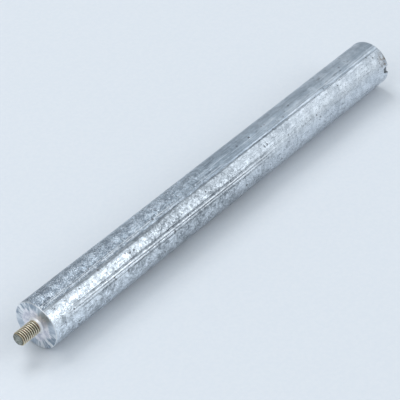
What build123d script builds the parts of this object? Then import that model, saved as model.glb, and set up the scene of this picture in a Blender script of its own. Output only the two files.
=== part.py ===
from build123d import *
import math
import os

# Rod anode: magnesium cast round a steel core, whose threaded end is the fixing stud.
# It lies on its side.  The origin is where the stud leaves the rod's machined face,
# +X runs out along the stud, +Z is up, and the rod lies along -X.
# Places round the rod are angles in degrees from +Y towards +Z.

# Cast rod
rod_diameter = 21.0
rod_length = 220.0
face_edge = 0.25             # chamfer that the facing cut leaves round the machined end
tail_edge = 0.7              # radius of the cast edge at the tail

# Steel core and the M6 stud on its end
thread_diameter = 6.0        # over the crests
bar_diameter = 5.3           # the plain bar, which the thread is rolled on
stud_length = 10.0           # from the rod's face to the tip
stud_chamfer = 0.5
core_cover = 12.0            # magnesium left between the core's end and the tail
casting_gap = 0.0            # the metal shrinks on to the core as it cools

# Raised ring that the facing cut leaves round the foot of the stud
ring_foot_diameter = 7.4
ring_top_diameter = 6.4
ring_height = 0.7

# Mould joint: a shallow groove with a fin of flash beside it, on both sides of the rod
joint_angle = 67.0
joint_depth = 0.16
joint_width_face = 1.25      # the groove is widest at the machined end
joint_width_middle = 0.75
joint_width_tail = 0.5
joint_wide_share = 0.33      # of the rod's length, over which it keeps its full width
joint_middle_share = 0.5     # where it has come down to its middle width
fin_offset = 5.5             # degrees from the groove
fin_height = 0.14
fin_width = 0.5
fin_start_share = 0.3        # of the rod's length: the fin rises, runs at its full height,
fin_full_share = 0.55        # then dies away
fin_fade_share = 0.8
fin_end_share = 0.985
toe_share = 0.15             # of its height, with which a fin or rib begins and ends

# Rib band: a pair of low ribs between two hairline grooves, fading at both ends
rib_angle = 27.8
rib_spacing = 5.5            # degrees between the two ribs
rib_height = 0.12
rib_width = 0.5
hairline_spacing = 14.4      # degrees between the two hairlines
hairline_depth = 0.1
hairline_width = 0.35
rib_start_share = 0.06       # of the rod's length
rib_crest_share = 0.4
rib_end_share = 0.78

# Chip flaked off the tail's edge, with one steep side and one slanting one
chip_angle = 17.0            # the steep side, at the tail
chip_heel = 1.2              # degrees from there down to the chip's upper inner corner
chip_toe = 14.0              # down to its lower inner corner
chip_span = 21.5             # down to where the slanting side runs out at the tail
chip_length = 3.4            # along the rod
chip_reach = 1.3             # inwards from the rod's surface
chip_slope = 15.0            # degrees that the broken walls lean in


rod_radius = rod_diameter / 2
core_length = rod_length - core_cover


def around(angle, radius, x=0.0):
    """Point at a distance along the rod, an angle round it and a radius from its axis."""
    turn = math.radians(angle)
    return Vector(x, radius * math.cos(turn), radius * math.sin(turn))


def section(angle, share, radius, centre_radius):
    """Circle across the rod, centred a share of the length from the face."""
    centre = around(angle, centre_radius, -share * rod_length)
    return Plane(origin=centre, x_dir=(0, 0, 1), z_dir=(-1, 0, 0)) * Circle(radius)


def bar_radius(width, depth):
    """Radius of the round bar that meets the surface over a width and passes it by a depth."""
    return (width**2 / 4 + depth**2) / (2 * depth)


def groove(angle, stations, depth):
    """Round-bottomed groove.  Stations are (share of the length, width at the surface)."""
    sections = []
    for share, width in stations:
        radius = bar_radius(width, depth)
        sections.append(section(angle, share, radius, rod_radius - depth + radius))
    return [loft(sections[i:i + 2]) for i in range(len(sections) - 1)]


def rib(angle, stations, width, height):
    """Low round-topped rib.  Stations are (share of the length, share of the full height)."""
    radius = bar_radius(width, height)
    sections = []
    for share, rise in stations:
        sections.append(section(angle, share, radius, rod_radius + rise * height - radius))
    return [loft(sections[i:i + 2]) for i in range(len(sections) - 1)]


def mould_joint(angle):
    """Groove and fin where two mould halves met, as (cuts, ribs)."""
    widths = [
        (0, joint_width_face),
        (joint_wide_share, joint_width_face),
        (joint_middle_share, joint_width_middle),
        (1, joint_width_tail),
    ]
    heights = [
        (fin_start_share, toe_share),
        (fin_full_share, 1),
        (fin_fade_share, 1),
        (fin_end_share, toe_share),
    ]
    cuts = groove(angle, widths, joint_depth)
    fins = rib(angle + fin_offset, heights, fin_width, fin_height)
    return cuts, fins


def rib_band():
    """Pair of ribs between two hairlines, as (cuts, ribs)."""
    widths = [(rib_start_share, hairline_width), (rib_end_share, hairline_width)]
    heights = [(rib_start_share, toe_share), (rib_crest_share, 1), (rib_end_share, toe_share)]
    cuts = []
    ribs = []
    for side in (-0.5, 0.5):
        cuts += groove(rib_angle + side * hairline_spacing, widths, hairline_depth)
        ribs += rib(rib_angle + side * rib_spacing, heights, rib_width, rib_height)
    return cuts, ribs


def tail_chip():
    """Flake of metal that is missing from the tail's edge."""
    middle = chip_angle - chip_span / 2
    over = chip_length / 2

    def corner(angle, inwards):
        """Corner of the break, by its angle and its distance in from the tail."""
        return (-inwards, rod_radius * math.radians(angle - middle))

    surface = Plane(
        origin=around(middle, rod_radius, -rod_length),
        x_dir=(-1, 0, 0),
        z_dir=around(middle, 1),
    )
    outline = Polyline(
        corner(chip_angle, -over),
        corner(chip_angle, 0),
        corner(chip_angle - chip_heel, chip_length),
        corner(chip_angle - chip_toe, chip_length),
        corner(chip_angle - chip_span, 0),
        corner(chip_angle - chip_span, -over),
        close=True,
    )
    mouth = surface * make_face(outline)
    return extrude(mouth, amount=-chip_reach, taper=chip_slope) + extrude(mouth, amount=chip_reach)


def across(x):
    """Plane across the rod, whose normal points to the tail."""
    return Plane(origin=(x, 0, 0), x_dir=(0, 1, 0), z_dir=(-1, 0, 0))


def cast_rod():
    """Round rod, with its mould marks, the seat of the core, finished ends and the chip."""
    rod = extrude(across(0) * Circle(rod_radius), amount=rod_length)
    rod = chamfer(rod.edges().group_by(Axis.X)[-1], face_edge)
    rod = fillet(rod.edges().group_by(Axis.X)[0], tail_edge)
    for cuts, ribs in (mould_joint(joint_angle), mould_joint(joint_angle + 180), rib_band()):
        rod = rod - cuts + ribs
    ring_top = across(ring_height) * Circle(ring_top_diameter / 2)
    rod += loft([ring_top, across(0) * Circle(ring_foot_diameter / 2)])
    seat = across(ring_height) * Circle(bar_diameter / 2 + casting_gap)
    rod -= extrude(seat, amount=ring_height + core_length)
    return rod - tail_chip()


def steel_core():
    """Bar inside the rod and the stud outside it, with a chamfered tip."""
    stud = extrude(across(stud_length) * Circle(thread_diameter / 2), amount=stud_length - ring_height)
    stud = chamfer(stud.edges().group_by(Axis.X)[-1], stud_chamfer)
    bar = extrude(across(ring_height) * Circle(bar_diameter / 2), amount=ring_height + core_length)
    return stud + bar


nodes = {
    "cast_rod": cast_rod(),
    "steel_core": steel_core(),
}

os.makedirs("parts", exist_ok=True)
for name, solid in nodes.items():
    export_step(solid, f"parts/{name}.step")
    print(name, round(solid.volume, 1), "mm3")
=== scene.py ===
import math

import bmesh
import bpy
from mathutils import Euler, Matrix, Vector, noise


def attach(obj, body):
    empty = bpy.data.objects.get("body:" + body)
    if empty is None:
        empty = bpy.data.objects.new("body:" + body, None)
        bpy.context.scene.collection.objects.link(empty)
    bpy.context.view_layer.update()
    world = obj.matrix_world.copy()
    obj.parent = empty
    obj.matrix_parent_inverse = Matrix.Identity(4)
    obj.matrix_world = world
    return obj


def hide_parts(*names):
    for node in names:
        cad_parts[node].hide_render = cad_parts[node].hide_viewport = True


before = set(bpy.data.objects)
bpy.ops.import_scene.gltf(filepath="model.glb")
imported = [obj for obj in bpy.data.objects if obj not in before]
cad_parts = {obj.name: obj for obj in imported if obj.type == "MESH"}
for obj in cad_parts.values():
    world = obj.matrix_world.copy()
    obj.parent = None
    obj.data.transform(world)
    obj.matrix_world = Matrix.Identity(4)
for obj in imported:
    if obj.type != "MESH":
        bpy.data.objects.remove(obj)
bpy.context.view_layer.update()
print("frame loaded:", sorted(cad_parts))


# Small helpers. Lengths in the modelling code are millimetres, and each piece is brought to metres
# at its end. Places round the bar are degrees from +Y towards +Z, as in the part.

def smoothStep(low, high, value):
    share = min(max((value - low) / (high - low), 0.0), 1.0)
    return share * share * (3 - 2 * share)


def blend(first, second, share):
    return first + (second - first) * share


def radiusOf(vert):
    return math.hypot(vert.co.y, vert.co.z)


def angleFrom(angle, centre):
    return (angle - centre + 180) % 360 - 180   # signed difference, -180 to 180


def bump(distance, halfWidth):
    # 1 in the middle, falling smoothly to 0 at the half width
    share = min(abs(distance) / halfWidth, 1.0)
    return (1 - share * share) ** 2


def spinProfile(bm, points, sectors):
    # Joins the points (x, radius) by edges and spins them round the X axis, sector by sector
    verts = [bm.verts.new((x, radius, 0)) for x, radius in points]
    edges = [bm.edges.new(pair) for pair in zip(verts, verts[1:])]
    start = sectors[0][0]
    bmesh.ops.rotate(bm, verts=verts, cent=(0, 0, 0), matrix=Matrix.Rotation(math.radians(start), 3, "X"))
    last = verts + edges
    for begin, end, steps in sectors:
        turned = bmesh.ops.spin(bm, geom=last, cent=(0, 0, 0), axis=(1, 0, 0), dvec=(0, 0, 0),
                                angle=math.radians(end - begin), steps=steps, use_merge=False)
        last = turned["geom_last"]
    bmesh.ops.remove_doubles(bm, verts=bm.verts, dist=0.002)
    bmesh.ops.recalc_face_normals(bm, faces=bm.faces)


def ringEdges(bm, x, radius):
    # Edges that lie on a circle round the axis
    return [e for e in bm.edges
            if all(abs(v.co.x - x) < 0.01 and abs(radiusOf(v) - radius) < 0.01 for v in e.verts)]


def roundEdges(bm, edges, size, segments):
    bmesh.ops.bevel(bm, geom=edges, offset=size, offset_type="OFFSET", segments=segments,
                    profile=0.5, affect="EDGES", material=-1)


def finishPiece(bm, name, materials, sharpAngle):
    # Brings the mesh to metres, marks its sharp edges and puts it in the scene
    bmesh.ops.scale(bm, vec=(0.001, 0.001, 0.001), verts=bm.verts)
    for face in bm.faces:
        face.smooth = True
    for edge in bm.edges:
        if len(edge.link_faces) == 2:
            edge.smooth = edge.calc_face_angle(0) < math.radians(sharpAngle)
    mesh = bpy.data.meshes.new(name)
    bm.to_mesh(mesh)
    bm.free()
    for material in materials:
        mesh.materials.append(material)
    piece = bpy.data.objects.new(name, mesh)
    bpy.context.scene.collection.objects.link(piece)
    return piece


# Node helpers

def newTree(name, inputs, outputs):
    # An empty shader node group with named sockets: inputs are (name, kind, default, low, high)
    tree = bpy.data.node_groups.new(name, "ShaderNodeTree")
    for label, kind, default, low, high in inputs:
        socket = tree.interface.new_socket(name=label, in_out="INPUT", socket_type=kind)
        if default is not None:
            socket.default_value = default
        if low is not None:
            socket.min_value, socket.max_value = low, high
    for label, kind in outputs:
        tree.interface.new_socket(name=label, in_out="OUTPUT", socket_type=kind)
    return tree, tree.nodes.new("NodeGroupInput"), tree.nodes.new("NodeGroupOutput")


def feed(tree, socket, value):
    # A socket takes either a link or a plain value
    if isinstance(value, bpy.types.NodeSocket):
        tree.links.new(value, socket)
    elif value is not None:
        socket.default_value = value


def maths(tree, operation, first, second=None, third=None, clamp=False):
    node = tree.nodes.new("ShaderNodeMath")
    node.operation, node.use_clamp = operation, clamp
    for socket, value in zip(node.inputs, (first, second, third)):
        feed(tree, socket, value)
    return node.outputs[0]


def times(tree, first, second, clamp=False):
    return maths(tree, "MULTIPLY", first, second, clamp=clamp)


def plus(tree, first, second, clamp=False):
    return maths(tree, "ADD", first, second, clamp=clamp)


def minus(tree, first, second, clamp=False):
    return maths(tree, "SUBTRACT", first, second, clamp=clamp)


def timesPlus(tree, value, factor, offset):
    return maths(tree, "MULTIPLY_ADD", value, factor, offset)


def ramp(tree, value, fromLow, fromHigh, toLow=0.0, toHigh=1.0):
    node = tree.nodes.new("ShaderNodeMapRange")
    node.interpolation_type = "SMOOTHSTEP"
    for label, number in (("Value", value), ("From Min", fromLow), ("From Max", fromHigh),
                          ("To Min", toLow), ("To Max", toHigh)):
        feed(tree, node.inputs[label], number)
    return node.outputs[0]


def mixColour(tree, share, first, second):
    node = tree.nodes.new("ShaderNodeMix")
    node.data_type = "RGBA"
    feed(tree, node.inputs[0], share)
    feed(tree, node.inputs[6], first)
    feed(tree, node.inputs[7], second)
    return node.outputs[2]


def cloud(tree, vector, scale, detail=3.0, roughness=0.55, twist=0.0):
    node = tree.nodes.new("ShaderNodeTexNoise")
    for label, number in (("Vector", vector), ("Scale", scale), ("Detail", detail),
                          ("Roughness", roughness), ("Distortion", twist)):
        feed(tree, node.inputs[label], number)
    return node.outputs[0]


def cells(tree, vector, scale):
    node = tree.nodes.new("ShaderNodeTexVoronoi")
    feed(tree, node.inputs["Vector"], vector)
    feed(tree, node.inputs["Scale"], scale)
    return node


def stretched(tree, vector, scale):
    node = tree.nodes.new("ShaderNodeMapping")
    feed(tree, node.inputs["Vector"], vector)
    node.inputs["Scale"].default_value = scale
    return node.outputs[0]


def combed(tree, vector, lengths, turn):
    # Drawn out to these lengths along axes that are turned about Z
    node = tree.nodes.new("ShaderNodeMapping")
    node.vector_type = "TEXTURE"
    feed(tree, node.inputs["Vector"], vector)
    node.inputs["Rotation"].default_value = (0, 0, math.radians(turn))
    node.inputs["Scale"].default_value = lengths
    return node.outputs[0]


def placed(tree, group, **values):
    node = tree.nodes.new("ShaderNodeGroup")
    node.node_tree = group
    for label, value in values.items():
        feed(tree, node.inputs[label], value)
    return node


# Shared effects

def makePits():
    # Scattered round pits: Size is a share of the spacing, Share is how many of the cells hold one
    tree, given, out = newTree("pits", [
        ("Vector", "NodeSocketVector", None, None, None), ("Spacing", "NodeSocketFloat", 3.0, 0.01, 100),
        ("Size", "NodeSocketFloat", 0.12, 0, 1), ("Share", "NodeSocketFloat", 0.5, 0, 1)],
        [("Pit", "NodeSocketFloat")])
    scale = maths(tree, "DIVIDE", 1.0, given.outputs["Spacing"])
    cell = cells(tree, given.outputs["Vector"], scale)
    split = tree.nodes.new("ShaderNodeSeparateColor")
    tree.links.new(cell.outputs["Color"], split.inputs[0])
    ragged = cloud(tree, given.outputs["Vector"], times(tree, scale, 6.0), 2.0)
    reach = times(tree, given.outputs["Size"], timesPlus(tree, split.outputs[1], 0.9, 0.45))
    near = maths(tree, "DIVIDE", cell.outputs["Distance"], reach)
    near = plus(tree, near, timesPlus(tree, ragged, 0.9, -0.45))       # the rim is ragged
    hole = ramp(tree, near, 1.0, 0.45)
    there = maths(tree, "LESS_THAN", split.outputs[0], given.outputs["Share"])
    tree.links.new(times(tree, hole, there), out.inputs[0])
    return tree


def makeSpeckle():
    # Fine grain of the metal, as a value round 0.5 and as sparse bright or dark specks
    tree, given, out = newTree("speckle", [
        ("Vector", "NodeSocketVector", None, None, None), ("Spacing", "NodeSocketFloat", 0.5, 0.01, 100),
        ("Few", "NodeSocketFloat", 0.6, 0, 1)],
        [("Grain", "NodeSocketFloat"), ("Specks", "NodeSocketFloat")])
    scale = maths(tree, "DIVIDE", 1.0, given.outputs["Spacing"])
    grain = cloud(tree, given.outputs["Vector"], scale, 3.0, 0.6)
    tree.links.new(grain, out.inputs[0])
    high = plus(tree, given.outputs["Few"], 0.08)
    tree.links.new(ramp(tree, grain, given.outputs["Few"], high), out.inputs[1])
    return tree


pits = makePits()
speckle = makeSpeckle()


def newMaterial(name):
    material = bpy.data.materials.new(name)
    material.use_nodes = True
    return material, material.node_tree, material.node_tree.nodes["Principled BSDF"]


def addBump(tree, shader, height, distance, strength):
    node = tree.nodes.new("ShaderNodeBump")
    node.inputs["Strength"].default_value = strength
    node.inputs["Distance"].default_value = distance
    feed(tree, node.inputs["Height"], height)
    tree.links.new(node.outputs[0], shader.inputs["Normal"])


# The cast bar. Its settings come first, because its materials follow its mould marks.
bar = {
    "radius": 10.5,
    "length": 220.0,
    "faceChamfer": 0.25,
    "tailRound": 0.7,
    "boreRadius": 2.65,
    "boreEnd": 208.0,
    "ringFoot": 3.7,
    "ringTop": 3.2,
    "ringHeight": 0.7,
    "ringRound": 0.13,
    "rows": 330,                # along the bar
    "faceRings": 8,
    "tailRings": 12,
    "sectors": [(18, 42, 36), (42, 60, 9), (60, 76, 24), (76, 240, 82), (240, 256, 24), (256, 378, 61)],
    "jointAngles": (67, 247),
    "jointDepth": 0.16,
    "jointWidths": ((0.0, 1.25), (72.6, 1.25), (110.0, 0.75), (220.0, 0.5)),    # along the bar, width
    "finRise": (60, 121),       # where the fin grows, along the bar
    "finFall": (170, 190),
    "finOffset": 5.5,
    "finHeight": 0.14,
    "finWidth": 0.5,
    "ribAngle": 27.8,
    "ribSpacing": 5.5,
    "ribRise": (8, 60),
    "ribFall": (120, 178),
    "ribHeight": 0.12,
    "ribWidth": 0.5,
    "hairlineSpacing": 14.4,
    "hairlineDepth": 0.1,
    "hairlineWidth": 0.35,
    # unevenness of the skin: how deep it goes, and the distance over which it changes
    "sag": (0.05, 26),          # broad, over the whole casting
    "ripple": (0.03, 3.4),      # flow marks, where the skin chilled
    "rippleCurl": (0.9, 5.5),   # how far they are turned aside
    "grain": (0.02, 1.5),
    "chilled": (60, 165),       # along the bar, where flow marks and grain die down
    "dish": 0.12,               # of the cast end
    "dishUneven": (0.06, 2.1),
    "pitDepth": 0.22,
    "pitSpacing": 7.0,
    "pitShare": 0.35,           # of the places that hold one
    "seed": 41,
}
noise.seed_set(bar["seed"])     # noise_vector would follow the clock without it


def makeBarPlace():
    # Where a point is on the bar, in millimetres: distance from the axis, distance from the face
    # towards the tail, and the distances from the mould joint's plane and the rib band's plane
    tree, _, out = newTree("barPlace", [], [
        ("Point", "NodeSocketVector"), ("Radius", "NodeSocketFloat"), ("Along", "NodeSocketFloat"),
        ("Joint", "NodeSocketFloat"), ("Rib", "NodeSocketFloat"), ("Front", "NodeSocketFloat")])
    spot = tree.nodes.new("ShaderNodeTexCoord").outputs["Object"]
    point = stretched(tree, spot, (1000, 1000, 1000))       # metres to millimetres
    split = tree.nodes.new("ShaderNodeSeparateXYZ")
    tree.links.new(point, split.inputs[0])
    x, y, z = split.outputs

    def across(angle):
        turn = math.radians(angle)
        return minus(tree, times(tree, z, math.cos(turn)), times(tree, y, math.sin(turn)))

    radius = maths(tree, "SQRT", plus(tree, times(tree, y, y), times(tree, z, z)))
    along = times(tree, x, -1.0)
    found = (point, radius, along, across(bar["jointAngles"][0]), across(bar["ribAngle"]), y)
    for socket, value in zip(out.inputs, found):
        tree.links.new(value, socket)
    return tree


barPlace = makeBarPlace()


# Cast skin of the magnesium: silver grey, mottled where it chilled, one mould half brighter than the other,
# partly as a painted highlight of the lamps' band on that side
castLook = {
    # the cool blue in these colours is partly a painted reflection of blue surroundings
    "brightLow": (0.16, 0.185, 0.21, 1),
    "brightHigh": (0.84, 0.91, 0.98, 1),
    "dullLow": (0.16, 0.195, 0.24, 1),
    "dullHigh": (0.58, 0.69, 0.80, 1),
    "frost": (0.86, 0.92, 0.99, 1),
    # dirt marks, and also painted shade in the rib band's lines
    "dirtAndShade": (0.135, 0.155, 0.18, 1),
    "pit": (0.06, 0.06, 0.07, 1),
    "milkyLow": (0.44, 0.50, 0.57, 1),
    "milkyHigh": (0.80, 0.86, 0.93, 1),
    "stain": (0.17, 0.125, 0.085, 1),
    # painted highlight colour for the rib crests and the flash line
    "crest": (0.93, 0.96, 1.0, 1),
    "side": (9.2, 9.9),         # radii between which the end's look gives way to the side's
    "endShare": 0.6,            # the end is this far from the dull half's look to the bright one's
    # even noise: scale per mm, detail, roughness, twist, and the values that become 0 and 1
    "etched": (0.8, 3.0, 0.6, 0.9, 0.36, 0.64),
    "mottle": (0.36, 3.0, 0.6, 0.5, 0.34, 0.66),
    "patchy": (0.09, 2.0, 0.55, 0.0, 0.38, 0.62),
    "film": (0.13, 4.0, 0.6, 0.6, 0.35, 0.65),
    # noise drawn out along the bar: scales along and across it per mm, detail, roughness
    "scratches": (0.11, 3.2, 2.0, 0.6),
    "streaks": (0.045, 1.9, 3.0, 0.6),
    "drawn": (0.14, 0.6, 3.0, 0.6),
    "nicks": (0.28, 2.2, 2.0, 0.6),
    "sway": (0.35, 0.9, 3.0, 0.7),
    "broken": (0.16, 1.3, 3.0, 0.65),
    # noise in slanting strokes: their lengths in mm, slant in degrees, detail, roughness, twist
    "frosted": ((0.8, 0.35, 0.5), 48, 3.0, 0.6, 0.6),
    "feather": ((0.4, 0.22, 0.3), 35, 3.0, 0.6, 0.6),
    "haze": ((4.5, 1.6, 2.4), 48, 2.0, 0.5, 0.3),
    # pits: spacing in mm, size as a share of it, share of the places that hold one
    "bigPits": (5.6, 0.10, 0.45),
    "smallPits": (2.4, 0.22, 0.36),
    # how much of each pattern shows in the tone of the two halves
    "brightMix": {"patchy": 0.2, "offset": -0.5},
    "dullMix": {"scratches": 1.1, "drawn": 0.8, "drawnOffset": -0.95,
                "mottle": 0.5, "etched": 0.4, "offset": -0.83, "feather": 0.75},
    # changes along the bar: two places in mm from the face, and the values there
    "fades": {
        "lively": (60, 160, 1.0, 0.0),
        "etched": (100, 160, 0.48, 0.06),
        "mottleNear": (30, 90, 0.42, 0.20),
        "mottleFar": (120, 165, 0.0, -0.09),
        "brightNear": (10, 80, 0.69, 0.50),
        "brightFar": (95, 150, 0.0, 0.22),
        "blotch": (75, 120, 1.2, 0.30),
        "dullNear": (0, 70, 0.0, 0.34),
        "dullFar": (85, 130, 0.0, 0.06),
        "lift": (100, 140, 0.17, 0.38),
        "frosted": (75, 125, 0.8, 0.20),
        "wiped": (75, 110),
        "haze": (90, 150, 0.0, 0.45),
        "milky": (110, 175, 0.0, 0.5),
        "nicks": (80, 140, -0.2, 0.0),
        "grooveNear": (10, 60, 0.62, 0.80),
        "grooveStep": (64, 76, 0.0, -0.55),
        "grooveDirt": (55, 78, 0.78, 1.0),
        "grooveEnd": (140, 190, 1.0, 0.35),
        "flashHighlightNear": (68, 90, 0.85, 0.15),
        "flashHighlightFar": (130, 160, 0.0, 0.4),
        "ribsBegin": (2, 26),
        "ribsEnd": (150, 112),
        "stain": (214.5, 217.5),
    },
    # changes across the mould joint: two places in mm from its plane, and the values there
    "jointFades": {
        "halves": (0.15, -0.15),
        "lift": (6.5, 3.0),
        "wiped": (6.5, 3.5),
        "scored": (-0.5, 0.5, 0.2, 0.38),
        "dashes": (-0.5, 0.5, 0.75, 0.4),
        "flecks": (-0.5, 0.5, 0.8, 0.45),
        "stain": (-1.0, -2.5),
        "rough": (-0.3, 0.3, 0.28, 0.38),
    },
    # values of a noise between which its marks come up, and how strong they get
    "marks": {
        "feather": (0.40, 0.60),
        "frosted": (0.49, 0.60),
        "wiped": (0.44, 0.40, 0.0, 0.7),
        "haze": (0.42, 0.62),
        "scored": (0.50, 0.66),
        "nicks": (0.65, 0.69, 0.0, 0.8),
        "dashes": (0.62, 0.70),
        "broken": (0.36, 0.6),
        "stain": (0.38, 0.56, 0.0, 0.8),
    },
    # places of the lines in mm from the joint's plane or the rib band's plane, and their half widths: painted
    # highlights on the rib crests and the flash line, painted shade in the hairlines and between the ribs
    "ribCrestHighlights": ((-0.46, 0.07), (0.50, 0.20)),
    "ribShadeLines": ((-1.28, 0.20), (-0.04, 0.12), (1.12, 0.08), (1.62, 0.22)),
    "flashHighlightLines": ((0.95, 0.10), (1.72, 0.08)),
    "grooveRim": 0.34,          # mm past the joint's plane, where the groove's dirt ends
    "bumpDepth": 0.00006,       # in metres, as for every bump here
}


def lineSet(tree, distance, lines, soft):
    # 1 on each of the parallel lines (middle, half width), 0 elsewhere
    found = None
    for middle, half in lines:
        off = maths(tree, "ABSOLUTE", minus(tree, distance, middle))
        line = ramp(tree, off, half + soft, half * 0.4)
        found = line if found is None else maths(tree, "MAXIMUM", found, line)
    return found


def makeCastSkin():
    material, tree, shader = newMaterial("castMagnesium")
    place = placed(tree, barPlace)
    point, along = place.outputs["Point"], place.outputs["Along"]
    joint, rib, front = place.outputs["Joint"], place.outputs["Rib"], place.outputs["Front"]

    def spread(name):
        scale, detail, roughness, twist, low, high = castLook[name]
        return ramp(tree, cloud(tree, point, scale, detail, roughness, twist), low, high)

    def drawnOut(name):
        lengthwise, sideways, detail, roughness = castLook[name]
        return cloud(tree, stretched(tree, point, (lengthwise, sideways, sideways)), 1.0, detail, roughness)

    def slanted(name):
        lengths, slant, detail, roughness, twist = castLook[name]
        return cloud(tree, combed(tree, point, lengths, slant), 1.0, detail, roughness, twist)

    def pitted(name):
        spacing, size, share = castLook[name]
        return placed(tree, pits, Vector=point, Spacing=spacing, Size=size, Share=share).outputs["Pit"]

    def fade(name):
        return ramp(tree, along, *castLook["fades"][name])

    def acrossJoint(name):
        return ramp(tree, joint, *castLook["jointFades"][name])

    def marked(name, value):
        return ramp(tree, value, *castLook["marks"][name])

    onSide = ramp(tree, place.outputs["Radius"], *castLook["side"])     # 0 on the end, which shows no joint
    brightHalf = minus(tree, acrossJoint("halves"), castLook["endShare"])   # the halves meet at the joint
    brightHalf = timesPlus(tree, brightHalf, onSide, castLook["endShare"])

    # etched look of the chilled skin, broader mottle, and scratches drawn along the bar
    etched, mottle = spread("etched"), spread("mottle")
    scratches, streaks = drawnOut("scratches"), drawnOut("streaks")
    grain = placed(tree, speckle, Vector=point, Spacing=0.7, Few=0.60)

    # bright half: light metal, etched in fine curls
    shares = castLook["brightMix"]
    tone = times(tree, spread("patchy"), shares["patchy"])
    tone = timesPlus(tree, mottle, plus(tree, fade("mottleNear"), fade("mottleFar")), tone)
    tone = timesPlus(tree, etched, fade("etched"), tone)
    tone = plus(tree, tone, shares["offset"])
    # lighter near the face, partly a painted highlight where the lamps' band is strongest
    base = plus(tree, fade("brightNear"), fade("brightFar"))
    brightShare = plus(tree, tone, base, clamp=True)
    brightSkin = mixColour(tree, brightShare, castLook["brightLow"], castLook["brightHigh"])

    # duller half: grey, scratched lengthwise and frosted with slanting strokes
    shares = castLook["dullMix"]
    tone = timesPlus(tree, drawnOut("drawn"), shares["drawn"], shares["drawnOffset"])
    tone = timesPlus(tree, scratches, shares["scratches"], tone)
    blotch = timesPlus(tree, etched, shares["etched"], shares["offset"])
    blotch = timesPlus(tree, mottle, shares["mottle"], blotch)
    blotch = timesPlus(tree, marked("feather", slanted("feather")), shares["feather"], blotch)
    tone = timesPlus(tree, blotch, fade("blotch"), tone)
    base = plus(tree, fade("dullNear"), fade("dullFar"))
    base = timesPlus(tree, acrossJoint("lift"), fade("lift"), base)
    dullShare = plus(tree, tone, base, clamp=True)
    dullSkin = mixColour(tree, dullShare, castLook["dullLow"], castLook["dullHigh"])
    frostShare = times(tree, marked("frosted", slanted("frosted")), fade("frosted"))
    frostShare = times(tree, frostShare, ramp(tree, mottle, 0.0, 1.0, 0.5, 1.2))
    dullSkin = mixColour(tree, frostShare, dullSkin, castLook["frost"])
    wiped = times(tree, marked("wiped", streaks), acrossJoint("wiped"))
    dullSkin = mixColour(tree, times(tree, wiped, fade("wiped")), dullSkin, castLook["frost"])
    colour = mixColour(tree, brightHalf, dullSkin, brightSkin)

    # milky film towards the tail
    milky = mixColour(tree, spread("film"), castLook["milkyLow"], castLook["milkyHigh"])
    milky = mixColour(tree, times(tree, brightHalf, 0.35), milky, castLook["milkyHigh"])
    haze = times(tree, marked("haze", slanted("haze")), fade("haze"))
    colour = mixColour(tree, times(tree, haze, brightHalf), colour, castLook["frost"])
    colour = mixColour(tree, fade("milky"), colour, milky)

    # scores, nicks, dashes and flecks
    scored = times(tree, marked("scored", streaks), acrossJoint("scored"))
    colour = mixColour(tree, scored, colour, castLook["dullLow"])
    nicks = plus(tree, drawnOut("nicks"), fade("nicks"))
    colour = mixColour(tree, marked("nicks", nicks), colour, castLook["dirtAndShade"])
    dashes = times(tree, marked("dashes", scratches), acrossJoint("dashes"))
    colour = mixColour(tree, dashes, colour, castLook["dirtAndShade"])
    flecks = times(tree, grain.outputs["Specks"], acrossJoint("flecks"))
    colour = mixColour(tree, flecks, colour, castLook["dirtAndShade"])

    # dirt in the mould joint's groove, and a painted highlight along the flash line beside it, both ragged
    sway = drawnOut("sway")
    broken = marked("broken", drawnOut("broken"))
    joint = plus(tree, joint, timesPlus(tree, sway, 0.8, -0.4))     # from here on the joint wavers
    grooveHalf = plus(tree, fade("grooveNear"), fade("grooveStep"))
    grooveMiddle = minus(tree, castLook["grooveRim"], grooveHalf)
    offJoint = maths(tree, "ABSOLUTE", minus(tree, joint, grooveMiddle))
    inGroove = times(tree, ramp(tree, minus(tree, offJoint, grooveHalf), 0.18, -0.14), onSide)
    grooveDirt = times(tree, inGroove, timesPlus(tree, broken, -0.35, 0.9))
    grooveDirt = times(tree, times(tree, grooveDirt, fade("grooveDirt")), fade("grooveEnd"))
    colour = mixColour(tree, grooveDirt, colour, castLook["dirtAndShade"])
    flashHighlight = times(tree, lineSet(tree, joint, castLook["flashHighlightLines"], 0.2), broken)
    faint = plus(tree, fade("flashHighlightNear"), fade("flashHighlightFar"))
    flashHighlight = times(tree, flashHighlight, times(tree, faint, onSide))
    colour = mixColour(tree, flashHighlight, colour, castLook["crest"])

    # the rib band: painted shade as dark lines in the hairlines either side and between the ribs, and painted
    # highlights on the rib crests
    rib = plus(tree, rib, timesPlus(tree, sway, 0.5, -0.25))
    window = times(tree, fade("ribsBegin"), fade("ribsEnd"))
    window = times(tree, window, ramp(tree, front, 2.0, 5.0))       # not on the far side of the bar
    lines = times(tree, lineSet(tree, rib, castLook["ribShadeLines"], 0.1), window)
    lines = times(tree, lines, timesPlus(tree, broken, -0.45, 1.0))
    crests = times(tree, lineSet(tree, rib, castLook["ribCrestHighlights"], 0.1), window)
    crests = times(tree, crests, timesPlus(tree, broken, 0.6, 0.25))
    colour = mixColour(tree, crests, colour, castLook["crest"])
    colour = mixColour(tree, lines, colour, castLook["dirtAndShade"])

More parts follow.
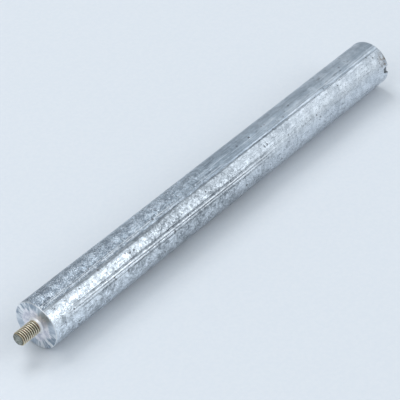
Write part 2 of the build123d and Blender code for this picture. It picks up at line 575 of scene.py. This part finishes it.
    # pits, and a brown stain at the tail's edge, between the joint and the rib band
    pitShare = maths(tree, "MAXIMUM", pitted("bigPits"), times(tree, pitted("smallPits"), 0.8))
    colour = mixColour(tree, times(tree, pitShare, 0.85), colour, castLook["pit"])
    stained = times(tree, marked("stain", cloud(tree, point, 0.6, 3.0)), fade("stain"))
    stained = times(tree, stained, ramp(tree, rib, 4.6, 1.2, 0.25, 1.0))
    stained = times(tree, stained, ramp(tree, rib, -2.0, -0.8))
    stained = times(tree, stained, acrossJoint("stain"))
    colour = mixColour(tree, stained, colour, castLook["stain"])
    tree.links.new(colour, shader.inputs["Base Color"])

    # the groove's dirt and the rib band's painted shade lines are rougher and less metallic
    grooveDirtAndRibShade = maths(tree, "MAXIMUM", grooveDirt, lines)
    rough = plus(tree, acrossJoint("rough"), timesPlus(tree, etched, -0.12, 0.06))
    rough = plus(tree, rough, times(tree, pitShare, 0.3))
    rough = plus(tree, rough, times(tree, grooveDirtAndRibShade, 0.25), clamp=True)
    tree.links.new(rough, shader.inputs["Roughness"])
    bare = minus(tree, 0.97, times(tree, maths(tree, "MAXIMUM", pitShare, grooveDirtAndRibShade), 0.35))
    tree.links.new(minus(tree, bare, times(tree, stained, 0.5), clamp=True), shader.inputs["Metallic"])

    # the crinkled skin gives way to a milky one
    height = times(tree, etched, ramp(tree, fade("lively"), 0.0, 1.0, 0.12, 0.7))
    height = timesPlus(tree, scratches, 1.2, height)
    height = minus(tree, height, times(tree, pitShare, 2.0))
    addBump(tree, shader, height, castLook["bumpDepth"], 0.8)
    return material


# Machined end face: cut bright, with long grains running in from the rim round a hazier middle
faceLook = {
    "grainLight": (0.95, 0.97, 0.99, 1),
    "grainDark": (0.30, 0.37, 0.45, 1),
    "plain": (0.54, 0.61, 0.69, 1),
    "haze": (0.95, 0.94, 0.98, 1),
    "hazeDark": (0.66, 0.67, 0.75, 1),
    "rim": (0.86, 0.88, 0.90, 1),
    "collar": (0.97, 0.97, 0.98, 1),
    "grainTurn": 133,           # degrees round the face to the middle of the strongest grains, where their sheen is painted
    "grainSides": (0.45, 0.9, 0.2, 1.0),    # how the grains grow towards those two sides
    # radii in mm, and the values there where they are given
    "hazeReach": 1.6,
    "rimEdge": (10.1, 10.28),
    "collarEdge": (3.85, 3.6),
    "hazeRough": (8.5, 4.5, 0.30, 0.50),
    "toolPitch": 0.22,          # mm between the marks of the facing tool
    "metallic": 0.97,
    "bumpDepth": 0.00002,
}


def makeCutFace():
    material, tree, shader = newMaterial("machinedMagnesium")
    place = placed(tree, barPlace)
    point, radius = place.outputs["Point"], place.outputs["Radius"]
    split = tree.nodes.new("ShaderNodeSeparateXYZ")
    tree.links.new(point, split.inputs[0])
    outY = maths(tree, "DIVIDE", split.outputs[1], radius)
    outZ = maths(tree, "DIVIDE", split.outputs[2], radius)
    join = tree.nodes.new("ShaderNodeCombineXYZ")    # direction round the axis, and a slow change outwards
    for socket, value in zip(join.inputs, (outY, outZ, times(tree, radius, 0.03))):
        tree.links.new(value, socket)
    rays = ramp(tree, cloud(tree, join.outputs[0], 6.0, 2.5, 0.6, 0.2), 0.38, 0.62)
    ragged = cloud(tree, join.outputs[0], 5.0, 3.0, 0.7)
    uneven = cloud(tree, point, 0.3, 3.0, 0.6)
    edgeOfHaze = timesPlus(tree, ragged, 5.0, timesPlus(tree, uneven, 6.0, faceLook["hazeReach"]))
    outer = ramp(tree, minus(tree, radius, edgeOfHaze), -0.7, 0.7)
    patch = ramp(tree, cloud(tree, point, 0.42, 4.0, 0.6, 0.3), 0.36, 0.66)
    fine = placed(tree, speckle, Vector=point, Spacing=0.45, Few=0.62)
    # the long grains stand out on two opposite sides, as a painted sheen of the facing cut
    turn = math.radians(faceLook["grainTurn"])
    lean = plus(tree, times(tree, outY, math.cos(turn)), times(tree, outZ, math.sin(turn)))
    strong = ramp(tree, maths(tree, "ABSOLUTE", lean), *faceLook["grainSides"])

    grainColour = mixColour(tree, rays, faceLook["grainDark"], faceLook["grainLight"])
    grainColour = mixColour(tree, strong, faceLook["plain"], grainColour)
    hazeColour = mixColour(tree, patch, faceLook["haze"], faceLook["hazeDark"])
    flecks = times(tree, fine.outputs["Specks"], 0.4)
    hazeColour = mixColour(tree, flecks, hazeColour, faceLook["hazeDark"])
    colour = mixColour(tree, outer, hazeColour, grainColour)
    # a lighter line round the chamfer: painted highlight
    rim = times(tree, ramp(tree, radius, *faceLook["rimEdge"]), 0.8)
    colour = mixColour(tree, rim, colour, faceLook["rim"])
    colour = mixColour(tree, ramp(tree, radius, *faceLook["collarEdge"]), colour, faceLook["collar"])
    tree.links.new(colour, shader.inputs["Base Color"])

    hazeRough = plus(tree, times(tree, patch, 0.1), ramp(tree, radius, *faceLook["hazeRough"]))
    outerRough = timesPlus(tree, rays, -0.08, 0.38)
    gap = minus(tree, outerRough, hazeRough)
    tree.links.new(timesPlus(tree, gap, outer, hazeRough), shader.inputs["Roughness"])
    shader.inputs["Metallic"].default_value = faceLook["metallic"]
    turned = maths(tree, "SINE", times(tree, radius, 2 * math.pi / faceLook["toolPitch"]))
    height = timesPlus(tree, turned, 0.05, times(tree, rays, 0.5))
    height = timesPlus(tree, fine.outputs["Grain"], 0.5, height)
    addBump(tree, shader, height, faceLook["bumpDepth"], 0.5)
    return material


# Fresh break: coarse bright crystals
breakLook = {
    "light": (0.38, 0.41, 0.44, 1),
    "dark": (0.07, 0.08, 0.09, 1),
    "crystals": 2.2,            # per mm
    "metallic": 0.9,
    "bumpDepth": 0.0002,
}


def makeBrokenMetal():
    material, tree, shader = newMaterial("brokenMagnesium")
    point = placed(tree, barPlace).outputs["Point"]
    crystal = cells(tree, point, breakLook["crystals"])
    tone = tree.nodes.new("ShaderNodeSeparateColor")
    tree.links.new(crystal.outputs["Color"], tone.inputs[0])
    fine = placed(tree, speckle, Vector=point, Spacing=0.25, Few=0.6)
    share = timesPlus(tree, tone.outputs[0], 0.8, -0.2)
    share = timesPlus(tree, fine.outputs["Grain"], 0.6, share)
    tree.links.new(mixColour(tree, share, breakLook["dark"], breakLook["light"]), shader.inputs["Base Color"])
    tree.links.new(timesPlus(tree, tone.outputs[1], 0.25, 0.28), shader.inputs["Roughness"])
    shader.inputs["Metallic"].default_value = breakLook["metallic"]
    height = plus(tree, crystal.outputs["Distance"], fine.outputs["Grain"])
    addBump(tree, shader, height, breakLook["bumpDepth"], 0.7)
    return material


def widthAlong(stations, along):
    # Straight-line reading between (place, width) stations
    for (before, first), (after, second) in zip(stations, stations[1:]):
        if along <= after:
            return blend(first, second, (along - before) / (after - before))
    return stations[-1][1]


def pitDrop(point, spacing, depth, share):
    # Depth of the nearest scattered pit, in millimetres
    distances, spots = noise.voronoi(point / spacing, distance_metric="DISTANCE", exponent=2.5)
    kind = abs(noise.cell(spots[0] * 7.3))      # one chance value for each pit
    if kind > share:
        return 0.0
    reach = (0.3 + 0.5 * kind / share) / spacing
    return depth * bump(distances[0], reach)


def skinDrop(point, angle, along):
    # How far the cast surface lies inside the full radius, in millimetres; fins and ribs are negative
    shift = Vector((bar["seed"], 0, 0))
    sag, sagSpan = bar["sag"]
    drop = sag * (0.5 + 0.5 * noise.noise(point / sagSpan + shift))
    lively = blend(1.0, 0.3, smoothStep(*bar["chilled"], along))
    ripple, rippleSpan = bar["ripple"]
    turn, turnSpan = bar["rippleCurl"]
    curl = noise.noise(point / rippleSpan + shift + turn * noise.noise_vector(point / turnSpan + shift))
    drop += ripple * lively * (1 - smoothStep(0.0, 0.28, abs(curl)))
    grain, grainSpan = bar["grain"]
    drop += grain * lively * max(0.0, noise.noise(point / grainSpan + shift))
    drop += pitDrop(point + shift, bar["pitSpacing"], bar["pitDepth"], bar["pitShare"])

    arc = math.radians(bar["radius"])
    for centre in bar["jointAngles"]:
        off = angleFrom(angle, centre) * arc
        if abs(off) < 2.2:
            wide = widthAlong(bar["jointWidths"], along)
            wobble = 0.06 * noise.noise(Vector((along / 9, centre, 0)))
            wobble += 0.10 * noise.noise(Vector((along / 1.9, centre, 2)))
            rough = 0.8 + 0.5 * noise.noise(Vector((along / 2.2, centre, 5)))
            drop += bar["jointDepth"] * rough * bump(off - wobble, wide * 0.62)
            rise = smoothStep(*bar["finRise"], along) * (1 - 0.75 * smoothStep(*bar["finFall"], along))
            rise *= 0.7 + 0.45 * noise.noise(Vector((along / 3.1, centre, 9)))
            finOff = off - bar["finOffset"] * arc
            drop -= bar["finHeight"] * max(rise, 0.0) * bump(finOff, bar["finWidth"] * 0.6)
    off = angleFrom(angle, bar["ribAngle"]) * arc
    if abs(off) < 2.5:
        fade = smoothStep(*bar["ribRise"], along) * (1 - smoothStep(*bar["ribFall"], along))
        for side in (-0.5, 0.5):
            wobble = 0.05 * noise.noise(Vector((along / 11, side, 3)))
            wobble += 0.07 * noise.noise(Vector((along / 2.1, side, 6)))
            ribOff = off - side * bar["ribSpacing"] * arc - wobble
            rough = 0.75 + 0.6 * noise.noise(Vector((along / 2.6, side, 14)))
            drop -= bar["ribHeight"] * fade * rough * bump(ribOff, bar["ribWidth"] * 0.6)
            lineOff = off - side * bar["hairlineSpacing"] * arc + wobble
            drop += bar["hairlineDepth"] * fade * rough * bump(lineOff, bar["hairlineWidth"] * 0.65)
    return drop


# The chip off the tail's edge, with one steep side and one slanting one
chip = {
    "steepAngle": 17.0,
    "heel": 1.2,                # degrees from there to its upper inner corner
    "toe": 14.0,                # to its lower inner corner
    "span": 21.5,               # to where the slanting side runs out
    "length": 3.4,
    "reach": 1.3,
    "lean": 15.0,               # degrees that the broken walls lean in
    "over": 1.7,                # how far the cutter stands out past the tail
    "proud": 1.5,               # and past the bar's surface
    "ragged": (0.14, 0.9),      # how far the break strays, and over what distance
    "fineRagged": (0.05, 0.3),
}


def makeChipCutter():
    # The missing wedge, as a solid that is taken away from the tail's edge
    middle = chip["steepAngle"] - chip["span"] / 2
    bm = bmesh.new()

    def corner(angle, inwards):
        return bm.verts.new((inwards, bar["radius"] * math.radians(middle - angle), 0))

    mouth = bm.faces.new([
        corner(chip["steepAngle"], -chip["over"]),
        corner(chip["steepAngle"], 0),
        corner(chip["steepAngle"] - chip["heel"], chip["length"]),
        corner(chip["steepAngle"] - chip["toe"], chip["length"]),
        corner(chip["steepAngle"] - chip["span"], 0),
        corner(chip["steepAngle"] - chip["span"], -chip["over"]),
    ])
    grown = bmesh.ops.extrude_face_region(bm, geom=[mouth])
    lid = [g for g in grown["geom"] if isinstance(g, bmesh.types.BMVert)]
    bmesh.ops.translate(bm, vec=(0, 0, chip["proud"]), verts=lid)
    bmesh.ops.recalc_face_normals(bm, faces=bm.faces)
    floorFaces = [f for f in bm.faces if f.normal.z < -0.9]
    bmesh.ops.inset_individual(bm, faces=floorFaces, depth=chip["reach"],
                               thickness=chip["reach"] * math.tan(math.radians(chip["lean"])))
    bmesh.ops.triangulate(bm, faces=bm.faces)
    for cuts in (3, 2):         # fine enough to be ragged
        bmesh.ops.subdivide_edges(bm, edges=bm.edges, cuts=cuts, use_grid_fill=True)
    # Y here runs round the bar and Z outwards
    turn = Matrix.Rotation(math.radians(middle) - math.pi / 2, 4, "X")
    flip = Matrix(((1, 0, 0, -bar["length"]), (0, 1, 0, 0), (0, 0, 1, bar["radius"]), (0, 0, 0, 1)))
    bmesh.ops.transform(bm, matrix=turn @ flip, verts=bm.verts)
    ragged, raggedSpan = chip["ragged"]
    fine, fineSpan = chip["fineRagged"]
    for vert in bm.verts:
        coarse = ragged * noise.noise_vector(vert.co / raggedSpan)
        vert.co += coarse + fine * noise.noise_vector(vert.co / fineSpan)
    bmesh.ops.recalc_face_normals(bm, faces=bm.faces)
    for face in bm.faces:
        face.material_index = 2
    return finishPiece(bm, "chipCutter", barMaterials, 60)


def outwardEdges(bm, x, shortest):
    # Edges of an end face that run outwards and are longer than this
    return [e for e in bm.edges if all(abs(v.co.x - x) < 0.01 for v in e.verts)
            and abs(radiusOf(e.verts[0]) - radiusOf(e.verts[1])) > shortest]


def makeCastBar():
    bm = bmesh.new()
    spinProfile(bm, [
        (-bar["boreEnd"], 0), (-bar["boreEnd"], bar["boreRadius"]), (bar["ringHeight"], bar["boreRadius"]),
        (bar["ringHeight"], bar["ringTop"]), (0, bar["ringFoot"]), (0, bar["radius"]),
        (-bar["length"], bar["radius"]), (-bar["length"], 1.0), (-bar["length"], 0),
    ], bar["sectors"])
    roundEdges(bm, ringEdges(bm, bar["ringHeight"], bar["ringTop"]), bar["ringRound"], 3)
    roundEdges(bm, ringEdges(bm, 0, bar["radius"]), bar["faceChamfer"], 1)
    roundEdges(bm, ringEdges(bm, -bar["length"], bar["radius"]), bar["tailRound"], 6)
    print("bar spun:", len(bm.verts), "vertices")

    outer = bar["radius"] - 0.05
    longEdges = [e for e in bm.edges if all(radiusOf(v) > outer for v in e.verts)
                 and abs(e.verts[0].co.x - e.verts[1].co.x) > bar["length"] / 2]
    bmesh.ops.subdivide_edges(bm, edges=longEdges, cuts=bar["rows"], use_grid_fill=True)
    for x, cuts in ((0, bar["faceRings"]), (-bar["length"], bar["tailRings"])):
        bmesh.ops.subdivide_edges(bm, edges=outwardEdges(bm, x, 3), cuts=cuts, use_grid_fill=True)
    print("bar divided:", len(bm.verts), "vertices")

    for vert in bm.verts:
        radius, along = radiusOf(vert), -vert.co.x
        if radius > bar["radius"] - 0.8 and along > -0.01:
            angle = math.degrees(math.atan2(vert.co.z, vert.co.y))
            share = smoothStep(bar["radius"] - 0.75, bar["radius"] - 0.2, radius)
            newRadius = radius - share * skinDrop(vert.co, angle, along)
            vert.co.y *= newRadius / radius
            vert.co.z *= newRadius / radius
        if along > bar["length"] - 0.72 and radius < bar["radius"] - 0.02:
            # the cast end is dished a little and uneven
            dish = bar["dish"] * (1 - smoothStep(2, 9.5, radius))
            uneven, unevenSpan = bar["dishUneven"]
            dish += uneven * (0.5 + 0.5 * noise.noise(vert.co / unevenSpan))
            vert.co.x += dish * smoothStep(bar["radius"] - 0.1, bar["radius"] - 0.9, radius)
    for face in bm.faces:
        middle = face.calc_center_median()
        if middle.x > -bar["faceChamfer"] and math.hypot(middle.y, middle.z) > bar["boreRadius"] + 0.01:
            face.material_index = 1
    bmesh.ops.triangulate(bm, faces=bm.faces)
    piece = finishPiece(bm, "castBar", barMaterials, 32)
    cutter = makeChipCutter()
    cut = piece.modifiers.new("chip", "BOOLEAN")
    cut.operation, cut.solver, cut.object = "DIFFERENCE", "MANIFOLD", cutter
    done = bpy.data.meshes.new_from_object(piece.evaluated_get(bpy.context.evaluated_depsgraph_get()))
    piece.modifiers.clear()
    old, piece.data = piece.data, done
    bpy.data.meshes.remove(old)
    bpy.data.meshes.remove(cutter.data)
    done.name = "castBar"
    print("chip cut:", len(done.polygons), "faces")
    return piece


barMaterials = [makeCastSkin(), makeCutFace(), makeBrokenMetal()]
print("bar's materials made")
castBar = makeCastBar()
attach(castBar, "root")
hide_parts("cast_rod")


# The steel core: a plain bar inside the casting, with a rolled M6 thread on the end that stands out
core = {
    "crest": 3.0,               # radii
    "root": 2.388,
    "barRadius": 2.65,
    "pitch": 1.0,
    "tip": 10.0,                # places along the axis, from the face
    "foot": 0.7,
    "runOut": 0.45,             # length over which the thread fades at its foot
    "tipChamfer": 0.5,
    "end": -208.0,
    "steps": 72,                # round one turn
    "turns": 12,
    "tipInset": 0.18,
}


# Stud: steel with a yellow chromate film, worn pale on the crests, which also carry a painted highlight, and
# painted shade dark in the roots
studLook = {
    # crest is pale worn film and also a painted highlight; root is painted shade
    "crest": (0.98, 0.93, 0.80, 1),
    "flank": (0.62, 0.53, 0.37, 1),
    "root": (0.06, 0.048, 0.035, 1),
    "rosy": (0.58, 0.38, 0.32, 1),
    "green": (0.36, 0.39, 0.26, 1),
    # radii in mm
    "rootToFlank": (2.46, 2.74),
    "tinted": (2.5, 2.7),
    "wornCrestAndHighlight": (2.80, 2.93),
    "rough": (2.6, 2.95, 0.6, 0.26),    # and the roughness there
    "bumpDepth": 0.00003,
}


def makeStudFinish():
    material, tree, shader = newMaterial("yellowPassivatedSteel")
    place = placed(tree, barPlace)
    point, radius = place.outputs["Point"], place.outputs["Radius"]
    # near black in the thread's roots: painted shade
    outOfRoot = ramp(tree, radius, *studLook["rootToFlank"])
    colour = mixColour(tree, outOfRoot, studLook["root"], studLook["flank"])
    tint = cloud(tree, point, 0.7, 3.0, 0.55, 0.8)
    onFlank = ramp(tree, radius, *studLook["tinted"])
    rosy = times(tree, onFlank, ramp(tree, tint, 0.52, 0.66, 0.0, 0.7))
    green = times(tree, onFlank, ramp(tree, tint, 0.48, 0.36, 0.0, 0.6))
    colour = mixColour(tree, rosy, colour, studLook["rosy"])
    colour = mixColour(tree, green, colour, studLook["green"])
    fine = placed(tree, speckle, Vector=point, Spacing=0.3, Few=0.6)
    # pale crests: partly worn film, partly a painted highlight
    crestWearAndHighlight = ramp(tree, fine.outputs["Grain"], 0.3, 0.62, 0.35, 1.0)
    crestWearAndHighlight = times(tree, crestWearAndHighlight, ramp(tree, radius, *studLook["wornCrestAndHighlight"]))
    colour = mixColour(tree, crestWearAndHighlight, colour, studLook["crest"])
    tree.links.new(colour, shader.inputs["Base Color"])
    rough = ramp(tree, radius, *studLook["rough"])
    rough = plus(tree, rough, timesPlus(tree, fine.outputs["Grain"], 0.2, -0.1))
    tree.links.new(rough, shader.inputs["Roughness"])
    shader.inputs["Metallic"].default_value = 1.0
    streak = cloud(tree, stretched(tree, point, (6, 1, 1)), 1.0, 2.0)
    addBump(tree, shader, plus(tree, fine.outputs["Grain"], streak), studLook["bumpDepth"], 0.5)
    return material


# Tip of the stud: grey sheared steel, dull and speckled, darker towards its edge
tipLook = {
    "light": (0.47, 0.485, 0.44, 1),
    "dark": (0.13, 0.135, 0.115, 1),
    "darkEdge": (2.5, 1.5, 0.45, 1.0),      # radii in mm, and the share of light metal there
    "metallic": 0.95,
    "bumpDepth": 0.00008,
}


def makeCutSteel():
    material, tree, shader = newMaterial("shearedSteelTip")
    place = placed(tree, barPlace)
    point, radius = place.outputs["Point"], place.outputs["Radius"]
    fine = placed(tree, speckle, Vector=stretched(tree, point, (1, 0.7, 1.3)), Spacing=0.9, Few=0.55)
    share = ramp(tree, fine.outputs["Grain"], 0.28, 0.72)
    share = times(tree, share, ramp(tree, radius, *tipLook["darkEdge"]), clamp=True)
    tree.links.new(mixColour(tree, share, tipLook["dark"], tipLook["light"]), shader.inputs["Base Color"])
    tree.links.new(timesPlus(tree, fine.outputs["Grain"], 0.3, 0.28), shader.inputs["Roughness"])
    shader.inputs["Metallic"].default_value = tipLook["metallic"]
    addBump(tree, shader, fine.outputs["Grain"], tipLook["bumpDepth"], 0.6)
    return material


def makeCore():
    bm = bmesh.new()
    low, high, pitch = core["root"], core["crest"], core["pitch"]
    # one turn of the thread, from root to root: 60 degree flanks, rounded crest and root
    turn = [(0.0, low + 0.02), (0.05, low), (0.145, low), (0.194, low + 0.02), (0.30, low + 0.203),
            (0.40, low + 0.40), (0.45, high - 0.11), (0.495, high - 0.042), (0.545, high - 0.009),
            (0.597, high), (0.649, high - 0.009), (0.699, high - 0.042), (0.744, high - 0.11),
            (0.794, low + 0.40), (0.894, low + 0.203)]
    points = [((count + x) * pitch, radius) for count in range(-1, core["turns"] - 1) for x, radius in turn]
    verts = [bm.verts.new((x, radius, 0)) for x, radius in points]
    edges = [bm.edges.new(pair) for pair in zip(verts, verts[1:])]
    bmesh.ops.spin(bm, geom=verts + edges, cent=(0, 0, 0), axis=(1, 0, 0), angle=2 * math.pi,
                   dvec=(pitch / core["steps"], 0, 0), steps=core["steps"], use_merge=False)
    bmesh.ops.remove_doubles(bm, verts=bm.verts, dist=0.002)
    for place, side in ((core["foot"], -1), (core["tip"], 1)):
        bmesh.ops.bisect_plane(bm, geom=bm.verts[:] + bm.edges[:] + bm.faces[:], dist=0.0005,
                               plane_co=(place, 0, 0), plane_no=(side, 0, 0), clear_outer=True)
    for vert in bm.verts:
        radius = radiusOf(vert)
        fade = smoothStep(core["foot"] + core["runOut"], core["foot"], vert.co.x)
        newRadius = blend(radius, core["barRadius"], fade)
        newRadius = min(newRadius, high - core["tipChamfer"] + core["tip"] - vert.co.x)
        vert.co.y *= newRadius / radius
        vert.co.z *= newRadius / radius
    ends = [e for e in bm.edges if e.is_boundary]
    tipEdges = [e for e in ends if e.verts[0].co.x > core["tip"] / 2]
    footEdges = [e for e in ends if e.verts[0].co.x < core["tip"] / 2]
    bmesh.ops.edgeloop_fill(bm, edges=tipEdges)
    tip = [f for f in bm.faces if len(f.verts) > 20]
    bmesh.ops.inset_individual(bm, faces=tip, thickness=core["tipInset"], depth=0.0)
    grown = bmesh.ops.extrude_edge_only(bm, edges=footEdges)
    far = [g for g in grown["geom"] if isinstance(g, bmesh.types.BMVert)]
    bmesh.ops.translate(bm, vec=(core["end"] - core["foot"], 0, 0), verts=far)
    bmesh.ops.edgeloop_fill(bm, edges=[e for e in bm.edges if e.is_boundary])
    bmesh.ops.recalc_face_normals(bm, faces=bm.faces)
    for face in bm.faces:
        if face.calc_center_median().x > core["tip"] - 0.002:
            face.material_index = 1
    bmesh.ops.triangulate(bm, faces=[f for f in bm.faces if len(f.verts) > 4])
    print("core made:", len(bm.verts), "vertices")
    return finishPiece(bm, "steelCore", [makeStudFinish(), makeCutSteel()], 50)


steelCore = makeCore()
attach(steelCore, "root")
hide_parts("steel_core")


# Floor, lights and camera
studio = {
    "floorColour": (0.76, 0.79, 0.83, 1),
    "floorShade": (0.74, 0.775, 0.82, 1),
    "floorGrain": 600.0,        # per metre
    "floorRough": (0.20, 0.23),
    "floorSize": 4.0,
    "lightColour": (0.95, 0.975, 1.0),
    "worldColour": (0.86, 0.94, 1.0, 1),
    "worldStrength": 0.43,
    # name, place, size, aim, power in watts
    "lights": [
        ("softOverhead", (-1.05, 0.70, 1.00), (1.5, 1.15), (-0.60, 0.30, 0.0), 2.2),
        ("softNear", (-0.45, 0.85, 0.85), (0.7, 0.7), (0.0, 0.0, 0.0), 2.3),
        ("softSide", (-0.75, 1.25, 0.5), (1.8, 1.0), (-0.3, 0.0, 0.1), 2.7),
        ("softTail", (-1.22, 0.15, 1.05), (0.8, 0.5), (-0.2, 0.0, 0.0), 0.75),
        ("softFar", (-1.05, -1.07, 0.38), (1.0, 0.45), (-0.12, 0.0, 0.0), 0.45),
        ("softCrest", (0.55, -0.10, 1.15), (0.6, 0.6), (0.0, 0.0, 0.0), 2.0),
        ("softFront", (1.15, -0.05, 0.65), (1.0, 1.1), (0.0, 0.0, 0.0), 3.0),
        ("softTop", (-0.25, -0.75, 1.25), (0.8, 0.8), (-0.1, 0.0, 0.0), 8.5),
    ],
}


def makeFloor():
    material, tree, shader = newMaterial("paleFloor")
    spot = tree.nodes.new("ShaderNodeTexCoord").outputs["Object"]
    fine = cloud(tree, spot, studio["floorGrain"], 2.0)
    colour = mixColour(tree, ramp(tree, fine, 0.3, 0.7), studio["floorColour"], studio["floorShade"])
    tree.links.new(colour, shader.inputs["Base Color"])
    tree.links.new(ramp(tree, fine, 0.3, 0.7, *studio["floorRough"]), shader.inputs["Roughness"])
    bm = bmesh.new()
    bmesh.ops.create_grid(bm, x_segments=4, y_segments=4, size=studio["floorSize"])
    bmesh.ops.translate(bm, vec=(0, 0, -bar["radius"] / 1000), verts=bm.verts)
    mesh = bpy.data.meshes.new("floor")
    bm.to_mesh(mesh)
    bm.free()
    mesh.materials.append(material)
    floor = bpy.data.objects.new("floor", mesh)
    bpy.context.scene.collection.objects.link(floor)


def makeLights():
    world = bpy.data.worlds.new("studio")
    bpy.context.scene.world = world
    world.use_nodes = True
    back = world.node_tree.nodes["Background"]
    back.inputs["Color"].default_value = studio["worldColour"]
    back.inputs["Strength"].default_value = studio["worldStrength"]
    for name, place, size, aim, power in studio["lights"]:
        lamp = bpy.data.lights.new(name, "AREA")
        lamp.shape = "RECTANGLE"
        lamp.size, lamp.size_y = size
        lamp.energy, lamp.color = power, studio["lightColour"]
        light = bpy.data.objects.new(name, lamp)
        light.location = place
        light.rotation_euler = (Vector(aim) - Vector(place)).to_track_quat("-Z", "Y").to_euler()
        bpy.context.scene.collection.objects.link(light)


view = {
    "place": (0.39874, 0.41133, 0.51297),
    "aim": (-0.09751, 0.00161, 0.0),
    "roll": -1.318,
    "lens": 181.4,
}


def makeCamera():
    lens = bpy.data.cameras.new("camera")
    lens.lens, lens.sensor_width = view["lens"], 36
    lens.clip_start, lens.clip_end = 0.05, 30
    camera = bpy.data.objects.new("camera", lens)
    camera.location = view["place"]
    look = (Vector(view["aim"]) - Vector(view["place"])).to_track_quat("-Z", "Y")
    camera.rotation_euler = (look @ Euler((0, 0, math.radians(view["roll"]))).to_quaternion()).to_euler()
    bpy.context.scene.collection.objects.link(camera)
    bpy.context.scene.camera = camera


makeFloor()
makeLights()
makeCamera()
bpy.context.scene.view_settings.view_transform = "Standard"
bpy.context.view_layer.update()
print("studio set")
